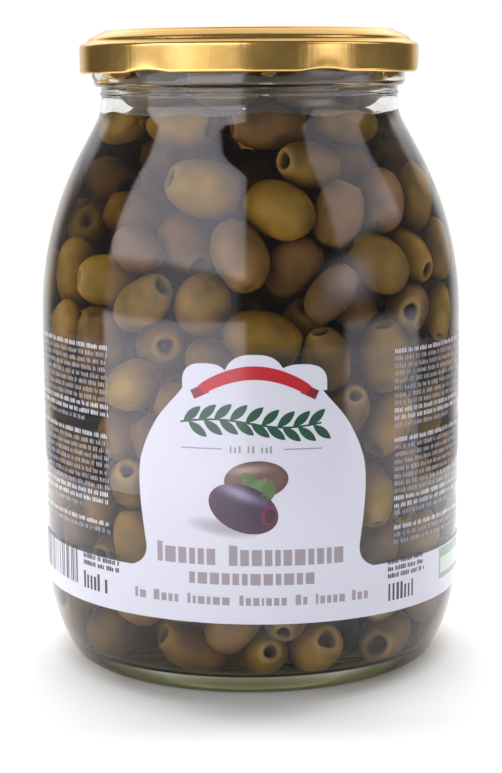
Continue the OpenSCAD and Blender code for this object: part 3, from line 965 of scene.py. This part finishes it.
lid_points[:, :2] *= (1 - 0.25 * reach ** 2 * low ** 2 / np.maximum(radius, 1))[:, None]
lid_points[:, 2] += LID_Z
print(f"lid: {2 * LID_R:.1f} mm over its skirt, {LID_H:.1f} mm high, {len(lid_line)} points in its section")

# %% [markdown]
# ## Gold lacquer
# The lid is tinplate under a clear gold lacquer, which is a metal with a thin coat on it. Handling leaves faint
# clouds in its gloss and hair-fine scratches, and both are noise: the scratches come from one that is squeezed
# along two directions.

# %% Gold lacquer
gold, gold_shader, nodes, links = new_finish("gold lacquer", {
    "Metallic": 1.0, "Coat Weight": 0.6, "Coat Roughness": 0.12, "Specular Tint": (0.80, 0.62, 0.30, 1)})
coords = nodes.new("ShaderNodeTexCoord")
cloud = with_values(nodes.new("ShaderNodeTexNoise"), {"Scale": 55, "Detail": 6, "Roughness": 0.65})
stretch = with_values(nodes.new("ShaderNodeMapping"), {"Scale": (900, 900, 90), "Rotation": (0.5, 0.3, 0.2)})
hair = with_values(nodes.new("ShaderNodeTexNoise"), {"Scale": 1.0, "Detail": 3})
tints = nodes.new("ShaderNodeValToRGB")
for stop, (position, colour) in zip(tints.color_ramp.elements, (
        (0.35, (0.66, 0.40, 0.10, 1)), (0.65, (0.78, 0.52, 0.16, 1)))):
    stop.position, stop.color = position, colour
rough = with_values(nodes.new("ShaderNodeMapRange"), {
    "From Min": 0.3, "From Max": 0.7, "To Min": 0.17, "To Max": 0.28})
dent = with_values(nodes.new("ShaderNodeBump"), {"Strength": 0.55, "Distance": 0.00006})
links.new(coords.outputs["Object"], cloud.inputs["Vector"])
links.new(coords.outputs["Object"], stretch.inputs["Vector"])
links.new(stretch.outputs["Vector"], hair.inputs["Vector"])
links.new(cloud.outputs["Fac"], tints.inputs["Fac"])
links.new(tints.outputs["Color"], gold_shader.inputs["Base Color"])
links.new(cloud.outputs["Fac"], rough.inputs["Value"])
links.new(rough.outputs["Result"], gold_shader.inputs["Roughness"])
links.new(hair.outputs["Fac"], dent.inputs["Height"])
links.new(dent.outputs["Normal"], gold_shader.inputs["Normal"])
lid = add_piece("twist_lid", lid_points, lid_faces, gold)
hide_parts("lid")

# %% [markdown]
# ## The label
# The label is a clear film wrapped round the body, printed with a white arch that grows out of a white band.
# Printed fields could be an image, but an outline turned into a thin surface stays sharp at any distance. Each
# field is worked out flat, as a way along the film and a height, and then rolled onto the glass. The film was
# put on a little askew, so heights fall off towards one side.

# %% Rolling a flat drawing onto the glass
FILM_R, FILM_LOW, FILM_HIGH, BAND_LOW, BAND_HIGH = BODY_R + 0.05, 19.9, 86.0, 19.75, 32.3
SLANT = math.tan(math.radians(0.85))


def rolled(along, height, radius):
    """x = radius sin(way / radius), y = -radius cos(way / radius), and the height falls with x by the slant."""
    along, height = np.broadcast_arrays(along, height)
    a = along / BODY_R
    return np.stack([radius * np.sin(a), -radius * np.cos(a), height - SLANT * BODY_R * np.sin(a)], -1)


def follows_heel(points, lift):
    """Below the straight body the glass curves in, so the radius there is that of the heel, plus the lift."""
    z = points[:, 2]
    r = np.hypot(points[:, 0], points[:, 1])
    sink = np.clip(HEEL_Z - z, 0, None)
    wall = BODY_R - HEEL_R + np.sqrt(HEEL_R ** 2 - sink ** 2)
    points[:, :2] *= ((wall + lift) / r)[:, None]
    return points


film, *_ = new_finish("clear film", {
    "Base Color": (0.95, 0.95, 1.0, 1), "Roughness": 0.12, "Alpha": 0.014, "Specular IOR Level": 0.3})
turns = np.linspace(-np.pi * BODY_R, np.pi * BODY_R, 193)[:-1]
heights = np.r_[FILM_LOW, np.linspace(24, 82, 12), FILM_HIGH]
film_outside = rolled(turns[None, :], heights[:, None], FILM_R + 0.04)
film_inside = rolled(turns[None, :], heights[::-1, None], FILM_R - 0.02)
film_points = np.concatenate([film_outside, film_inside]).reshape(-1, 3)
lifts = np.repeat([0.09, 0.03], len(heights) * len(turns))
film_faces = grid_quads(2 * len(heights), len(turns), True, True).tolist()
film_piece = add_piece("label_film", follows_heel(film_points, lifts), film_faces, film)
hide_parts("label")

# %% [markdown]
# ### White fields
# The white print is a band with an arch on it. The band's edge is a height for each way along the film, and the
# arch's edge is a half-width for each height, because its sides bulge. The crest on top has three soft lobes.

# %% White band, arch and crest
INK_WHITE = (0.73, 0.725, 0.835)
white_ink, *_ = new_finish("white ink", {
    "Base Color": (*INK_WHITE, 1), "Roughness": 0.45, "Coat Weight": 0.6, "Coat Roughness": 0.12})
# The arch's half-width at each height, and the crest's lobes: way, half-width, height over their foot, and foot
ARCH_Z = np.array([32.0, 33.0, 34.2, 36.5, 40.0, 45.0, 50.0, 55.0, 58.5, 62.0, 66.0, 69.5, 72.5, 75.0, 76.9])
ARCH_HALF = np.array([31.5, 29.0, 27.6, 26.6, 26.9, 27.6, 28.1, 28.2, 27.8, 26.7, 24.8, 22.6, 20.0, 17.7, 16.2])
LOBES = ((-10.9, 5.6, 4.8, 77.6), (0.7, 7.2, 7.0, 77.6), (11.9, 6.2, 4.7, 77.6))
LOBE_POWER, NOTCH_SOFT = 2.6, 0.3


def smooth_curve(x, known_x, known_y):
    """A smooth line through known values: a cubic between each two, with slopes from their neighbours."""
    slope = np.gradient(known_y, known_x)
    i = np.clip(np.searchsorted(known_x, x) - 1, 0, len(known_x) - 2)
    h = known_x[i + 1] - known_x[i]
    s = (x - known_x[i]) / h
    return ((2 * s ** 3 - 3 * s ** 2 + 1) * known_y[i] + (s ** 3 - 2 * s ** 2 + s) * h * slope[i]
            + (3 * s ** 2 - 2 * s ** 3) * known_y[i + 1] + (s ** 3 - s ** 2) * h * slope[i + 1])


def crest_height(way):
    """Top edge of the crest: the highest of three lobes, z + h * (1 - |t| ** 2.6) ** (1 / 2.6), where t runs
    from -1 to 1 across a lobe, with the notches between them eased."""
    tops = [z + h * np.clip(1 - np.abs((way - x) / w) ** LOBE_POWER, 0, 1) ** (1 / LOBE_POWER) for x, w, h, z in LOBES]
    return NOTCH_SOFT * np.log(sum(np.exp(top / NOTCH_SOFT) for top in tops))


def white_fields():
    """The points and faces of the band all round, the arch by rows, and the crest by columns."""
    def field(way, height):
        """A grid rolled onto the glass, as points and faces. Its rows go up and its columns go round."""
        points = rolled(way, height, BODY_R)
        return points.reshape(-1, 3), grid_quads(*points.shape[:2])

    round_way = np.linspace(-np.pi * BODY_R, np.pi * BODY_R, 241)
    band = field(round_way[None, :], np.linspace(BAND_LOW, BAND_HIGH, 9)[:, None])
    z = np.linspace(ARCH_Z[0], ARCH_Z[-1], 70)
    half = smooth_curve(z, ARCH_Z, ARCH_HALF)
    arch = field(half[:, None] * np.linspace(-1, 1, 41)[None, :] + 0.15, z[:, None])
    way, foot = np.linspace(-16.45, 18.05, 161), 76.0
    crest = field(way[None, :], foot + (crest_height(way)[None, :] - foot) * np.linspace(0, 1, 12)[:, None])
    return [band, arch, crest]


def joined(parts):
    """Several point and face lists as one, with the face numbers shifted."""
    shift, points, faces = 0, [], []
    for p, f in parts:
        points.append(p)
        faces += (np.asarray(f) + shift).tolist()
        shift += len(p)
    return np.vstack(points), faces


white_points, white_faces = joined(white_fields())
white_points = follows_heel(white_points, np.full(len(white_points), 0.10))
white_piece = add_piece("label_white_print", white_points, white_faces, white_ink)

# %% [markdown]
# ### Small print
# What would be lettering is kept as plain blocks, row on row, so the label has the grain of print and says
# nothing. One call lays out a whole column: words of random length made of narrow blocks.

# %% Blocks for print
def blocks(way, height, width, tall, colour, lift):
    """Small upright rectangles, one for each entry, as points, faces and colours."""
    n = len(way)
    corner_w = np.stack([way, way + width, way + width, way], 1)
    corner_h = np.stack([height, height, height + tall, height + tall], 1)
    points = rolled(corner_w, corner_h, BODY_R).reshape(-1, 3)
    faces = np.arange(4 * n).reshape(-1, 4)
    return points, faces, np.broadcast_to(colour, (4 * n, 3)), np.full(4 * n, lift)


def print_row(start, end, height, tall, letter, colour, lift, seed, bold=0.0, fill=0.62):
    """A row of narrow blocks in words: a word is 2 to 9 blocks, and heights vary a little from block to block."""
    r = np.random.default_rng(seed)
    count = int((end - start) / letter)
    way = start + np.arange(count) * letter
    spaces = np.cumsum(r.integers(3, 9, count))
    shown = ~np.isin(np.arange(count), spaces)
    size = r.choice([1.0, 1.0, 0.8], count)
    width = letter * (fill + bold + r.uniform(-0.1, 0.1, count))
    return blocks(way[shown], np.full(count, height)[shown], width[shown], (tall * size)[shown], colour, lift)


def print_column(start, end, top, rows, seed):
    """White rows on the clear film. Each twelfth row is left out, the one before it is short, as at the end of a
    paragraph, and three of the twelve are bolder."""
    r = np.random.default_rng(seed)
    out = []
    for k in range(rows):
        paragraph = k % 12
        if paragraph == 11:
            continue
        stop = end - (r.uniform(8, 20) if paragraph == 10 else 0)
        bold = paragraph in (0, 8, 9)
        out.append(print_row(start, stop, top - (k + 1) * ROW_SPACING, 1.10, 0.58,
                             BRIGHT_PRINT if bold else FAINT_PRINT, 0.11,
                             seed * 100 + k, bold=0.16 if bold else 0.0, fill=0.42))
    return out


ROW_SPACING, BRIGHT_PRINT, FAINT_PRINT = 1.80, (0.78, 0.78, 0.86), (0.50, 0.50, 0.56)
prints = []
for start, end, top, rows, seed in ((-80.0, -36.6, 85.4, 26, 3), (37.2, 82.0, 85.2, 27, 4),
                                    (-150.0, -104.0, 80.0, 22, 5), (104.0, 150.0, 80.0, 22, 6)):
    prints += print_column(start, end, top, rows, seed)
print("rows of small print:", len(prints))

# %% [markdown]
# ### Shapes for ink
# Everything drawn on the label is made of four shapes: a word of blocks, a filled ellipse, a stripe and a leaf.
# Each gives points, faces, colours and how far it is lifted off the glass, so that what is printed later lies over
# what was printed before.

# %% Shapes for ink
def word(start, end, height, first_tall, tall, pitch, colour):
    """A heading's word as blocks of uneven width that sit close together, the first one taller."""
    r = np.random.default_rng(int(100 * (start + height + 90)))
    count = max(2, round((end - start) / pitch))
    share = r.uniform(0.7, 1.3, count)
    step = (end - start) * share / share.sum()
    size = np.where(np.arange(count) < 1, first_tall, tall)
    width = step - 0.42 * pitch ** 0.5
    return blocks(start + np.cumsum(step) - step, np.full(count, height), width, size, colour, 0.13)


def disc(centre, half_w, half_h, turn_deg, colour, lift, shade=None, rings=9, around=40):
    """A filled ellipse as rings round its middle. The shade function turns (x, y) in the unit disc to a colour."""
    r = np.linspace(0.02, 1, rings)[:, None]
    a = np.linspace(0, 2 * np.pi, around, endpoint=False)[None, :]
    x, y = r * np.cos(a), r * np.sin(a)
    t = math.radians(turn_deg)
    way = centre[0] + half_w * x * math.cos(t) - half_h * y * math.sin(t)
    height = centre[1] + half_w * x * math.sin(t) + half_h * y * math.cos(t)
    points = rolled(way, height, BODY_R).reshape(-1, 3)
    base = np.broadcast_to(colour, (rings * around, 3)).copy()
    if shade is not None:
        base = shade(x.ravel(), y.ravel())
    middle = rolled(np.array([centre[0]]), np.array([centre[1]]), BODY_R)
    points = np.vstack([points, middle])
    base = np.vstack([base, base[:1]])
    quads = grid_quads(rings, around, False, True)[:, ::-1]
    fan = np.stack([np.full(around, rings * around), np.arange(around), (np.arange(around) + 1) % around], 1)
    return points, quads.tolist() + fan.tolist(), base, np.full(len(points), lift)


def ribbon(way, height, half_width, colour, lift):
    """A stripe of changing width along a line: each point of the line is moved to both sides."""
    step_w, step_h = np.gradient(way), np.gradient(height)
    length = np.hypot(step_w, step_h)
    side_w, side_h = -step_h / length, step_w / length
    u = np.linspace(-1, 1, 5)[:, None]
    points = rolled(way + side_w * half_width * u, height + side_h * half_width * u, BODY_R)
    return (points.reshape(-1, 3), grid_quads(5, len(way)),
            np.broadcast_to(colour, (5 * len(way), 3)), np.full(5 * len(way), lift))


def leaf(base_w, base_h, length, wide, turn_deg, colour, lift):
    """A pointed leaf: its half-width is a sine to the power 0.8 of the way along a straight rib."""
    s = np.linspace(0, 1, 15)
    t = math.radians(turn_deg)
    return ribbon(base_w + length * s * math.cos(t), base_h + length * s * math.sin(t),
                  wide * np.sin(np.pi * s) ** 0.8 + 0.01, colour, lift)


def olive_shade(light, dark, edge):
    """Colour over a printed olive: dark below, a soft light patch above and to the left."""
    light, dark, edge = map(np.array, (light, dark, edge))

    def at(x, y):
        """The colour at a place in the unit disc: the glow is a bell, and the rim grows from 0.77 outwards."""
        glow = np.exp(-(((x + 0.25) / 0.55) ** 2 + ((y - 0.55) / 0.20) ** 2))[:, None]
        rim = np.clip((x ** 2 + y ** 2 - 0.6) / 0.4, 0, 1)[:, None]
        return dark * (1 - glow) * (1 - 0.5 * rim) + edge * 0.5 * rim * (1 - glow) + light * glow
    return at


def soft_shadow(x, y):
    """Grey that fades into the white print towards the edge of the disc."""
    fade = np.clip(1 - (x ** 2 + y ** 2), 0, 1)[:, None]
    return np.array(INK_WHITE) * (1 - 0.5 * fade) + np.array([0.10, 0.09, 0.07]) * 0.5 * fade


print("a printed ellipse has", len(disc((0, 0), 1, 1, 0, (0, 0, 0), 0)[0]), "points")

# %% [markdown]
# ### Banner, sprig and olives
# At the top of the arch a red banner bends over a green sprig, and under them two olives lie on a soft shadow with
# three leaves. The sprig's leaves stand in pairs along a wavy stem, each pair one step further.

# %% Banner, sprig and olives
GREY, GREEN, RED, DEEP_RED = (0.33, 0.33, 0.36), (0.006, 0.062, 0.030), (0.50, 0.008, 0.018), (0.20, 0.006, 0.012)
s = np.linspace(0, 1, 41)
prints.append(ribbon(0.8 + 12.6 * (2 * s - 1), 76.0 + 4.3 * np.sin(np.pi * s) ** 0.8,
                     1.25 + 0.35 * np.sin(np.pi * s), RED, 0.135))
for side in (-1, 1):
    prints.append(ribbon(0.8 + side * (11.2 + 3.6 * s), 76.6 - 1.7 * s, np.full(41, 1.15), DEEP_RED, 0.13))
prints.append(ribbon(-17.0 + 33.6 * s, 68.3 + 0.9 * np.sin(2 * np.pi * s), 0.22 + 0 * s, GREEN, 0.13))
for k in range(9):
    foot_w = -16.2 + 3.7 * k
    foot_h = 68.3 + 0.9 * math.sin(2 * math.pi * (foot_w + 17) / 33.6)
    prints.append(leaf(foot_w, foot_h, 5.6, 1.05, 42, GREEN, 0.13))
    prints.append(leaf(foot_w + 1.2, foot_h, 5.6, 1.05, -38, GREEN, 0.13))
for start, end in ((-17.0, -7.0), (7.5, 16.8)):
    prints.append(ribbon(np.linspace(start, end, 12), np.full(12, 62.2), np.full(12, 0.14), GREY, 0.13))
prints.append(print_row(-5.2, 6.1, 61.3, 1.7, 1.05, GREY, 0.13, 11, bold=-0.2))
prints.append(disc((-7.0, 43.2), 9.5, 2.4, -8, None, 0.115, soft_shadow))
brown = olive_shade((0.42, 0.34, 0.30), (0.16, 0.085, 0.07), (0.06, 0.03, 0.03))
violet = olive_shade((0.32, 0.29, 0.42), (0.035, 0.014, 0.045), (0.09, 0.02, 0.06))
prints.append(disc((1.0, 54.9), 7.6, 4.5, 4, None, 0.13, brown))
prints.append(leaf(-2.2, 56.6, 7.4, 1.9, -52, (0.11, 0.18, 0.065), 0.135))
prints.append(leaf(-1.2, 49.4, 7.6, 1.8, 52, (0.15, 0.23, 0.09), 0.14))
prints.append(leaf(2.6, 49.0, 6.4, 1.7, 70, (0.10, 0.17, 0.06), 0.142))
prints.append(disc((-2.1, 47.9), 8.6, 5.6, -22, None, 0.145, violet))
prints.append(disc((3.9, 46.4), 1.9, 2.4, -20, (0.16, 0.010, 0.060), 0.15))
prints.append(disc((4.2, 46.2), 1.3, 1.7, -20, (0.035, 0.006, 0.018), 0.155))
print("fields drawn so far:", len(prints))

# %% [markdown]
# ### Headings and band
# Under the picture come two headings and a line of small words, all as pale blocks. The band goes on round the
# jar with short dark rows, two groups of bars, a field of stripes at the left and a pale green field at the right.

# %% Headings and band
DARK, PALE_MAUVE = (0.030, 0.028, 0.035), (0.34, 0.29, 0.33)
PALE_GREEN, GREEN_WHITE = (0.30, 0.42, 0.30), (0.66, 0.72, 0.66)
for start, end in ((-23.4, -8.2), (-5.6, 22.9)):
    prints.append(word(start, end, 34.1, 4.9, 3.9, 2.7, PALE_MAUVE))
prints.append(word(-15.3, 15.5, 29.4, 2.8, 2.8, 2.6, PALE_MAUVE))
for start, end in ((-29.8, -26.2), (-24.6, -17.6), (-15.8, -5.0), (-3.2, 8.6), (10.2, 13.6), (15.2, 23.2),
                   (24.6, 29.6)):
    prints.append(word(start, end, 24.4, 2.5, 1.9, 1.7, PALE_MAUVE))
for k in range(3):
    prints.append(print_row(-47.6, -34.4, 32.8 - 1.75 * k, 1.15, 0.62, DARK, 0.13, 31 + k, bold=0.1))
    prints.append(print_row(35.2, 49.4, 31.8 - 1.75 * k, 1.15, 0.62, DARK, 0.13, 41 + k, bold=0.1))
prints.append(print_row(-47.6, -38.0, 23.4, 4.3, 1.35, DARK, 0.13, 51, bold=-0.08))
prints.append(print_row(35.4, 45.0, 22.6, 4.3, 1.35, DARK, 0.13, 52, bold=-0.08))
stripes = np.cumsum(np.random.default_rng(9).choice([0.55, 0.8, 1.1, 1.5], 30))
stripes = -76.0 + stripes[stripes < 25.5]
widths = np.random.default_rng(10).choice([0.25, 0.4, 0.6], len(stripes))
prints.append(blocks(stripes, np.full(len(stripes), 23.8), widths, np.full(len(stripes), 9.4), DARK, 0.13))
prints.append(ribbon(np.linspace(56.5, 74.5, 25), np.full(25, 27.9), np.full(25, 3.9), PALE_GREEN, 0.125))
prints.append(ribbon(np.linspace(57.3, 73.7, 25), np.full(25, 27.4), np.full(25, 2.0), GREEN_WHITE, 0.135))
print("fields drawn in all:", len(prints))

# %% [markdown]
# ### The ink as one piece
# All the fields become one mesh of thin surfaces that keep their colours point by point. They could be dozens of
# pieces with a material each, but one ink under one coat is how the label is printed.

# %% Ink mesh
ink, ink_shader, nodes, links = new_finish("label ink", {
    "Roughness": 0.4, "Coat Weight": 0.5, "Coat Roughness": 0.12})
ink_colour = nodes.new("ShaderNodeAttribute")
ink_colour.attribute_name = "ink"
links.new(ink_colour.outputs["Color"], ink_shader.inputs["Base Color"])
print_faces, shift = [], 0
for points, faces, _, _ in prints:
    print_faces += [[int(i) + shift for i in face] for face in faces]
    shift += len(points)
print_lifts = np.concatenate([field[3] for field in prints])
print_points = follows_heel(np.vstack([field[0] for field in prints]), print_lifts)
print_piece = add_piece("label_ink_print", print_points, print_faces, ink)
paint(print_piece, "ink", np.vstack([field[2] for field in prints]))

# %% [markdown]
# ## Sizes
# Last, the finished model's box is measured and printed, in millimetres.

# %% Size of the finished model
low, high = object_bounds()
print("visual box in mm:", [round(v / MM, 2) for v in (*low, *high)])
